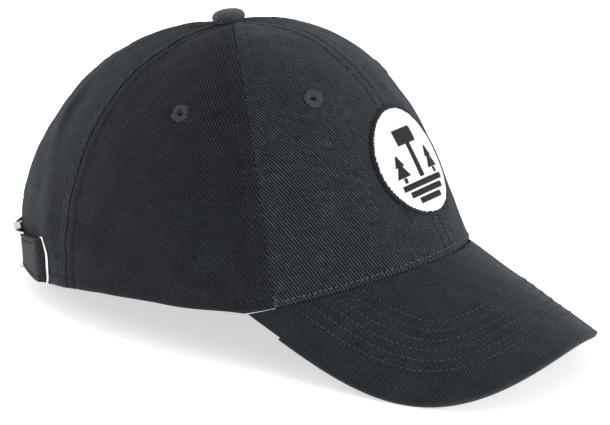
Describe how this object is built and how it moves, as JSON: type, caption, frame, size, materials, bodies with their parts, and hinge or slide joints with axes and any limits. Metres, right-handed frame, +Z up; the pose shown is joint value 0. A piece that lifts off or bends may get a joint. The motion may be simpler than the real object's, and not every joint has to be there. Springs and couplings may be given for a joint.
{
  "type": "six-panel twill cap",
  "caption": "Rounded cloth cap of stitched panels with a curved stiff peak, round front badge, covered top button, stitched eyelets and a buckled back strap.",
  "frame": {"origin": "on the table under the middle of the cap's bounding box, with the cap lying as it would by itself, on its strap and the two side edges of its peak", "axes": "+Z up from the table, -Y the way the peak points, +X the wearer's left"},
  "size_m": [0.1556, 0.2798, 0.1385],
  "materials": {
    "black_twill": "brushed matte twill",
    "peak_twill": "brushed matte twill",
    "grey_thread": "embroidered thread",
    "white_field": "white twill",
    "badge_edge_thread": "overlocked black thread",
    "bright_metal": "polished"
  },
  "bodies": {
    "root": {"panel_front_left": "black_twill", "panel_front_right": "black_twill", "panel_side_left": "black_twill", "panel_side_right": "black_twill", "panel_rear_left": "black_twill", "panel_rear_right": "black_twill", "peak": "peak_twill", "top_button": "black_twill", "eyelet_front_left": "grey_thread", "eyelet_front_right": "grey_thread", "eyelet_side_left": "grey_thread", "eyelet_side_right": "grey_thread", "badge_field": "white_field", "badge_edge": "badge_edge_thread", "strap": "black_twill", "buckle_frame": "bright_metal", "buckle_lever": "bright_metal", "buckle_loop": "black_twill", "slot_rim": "bright_metal"}
  },
  "joints": []
}
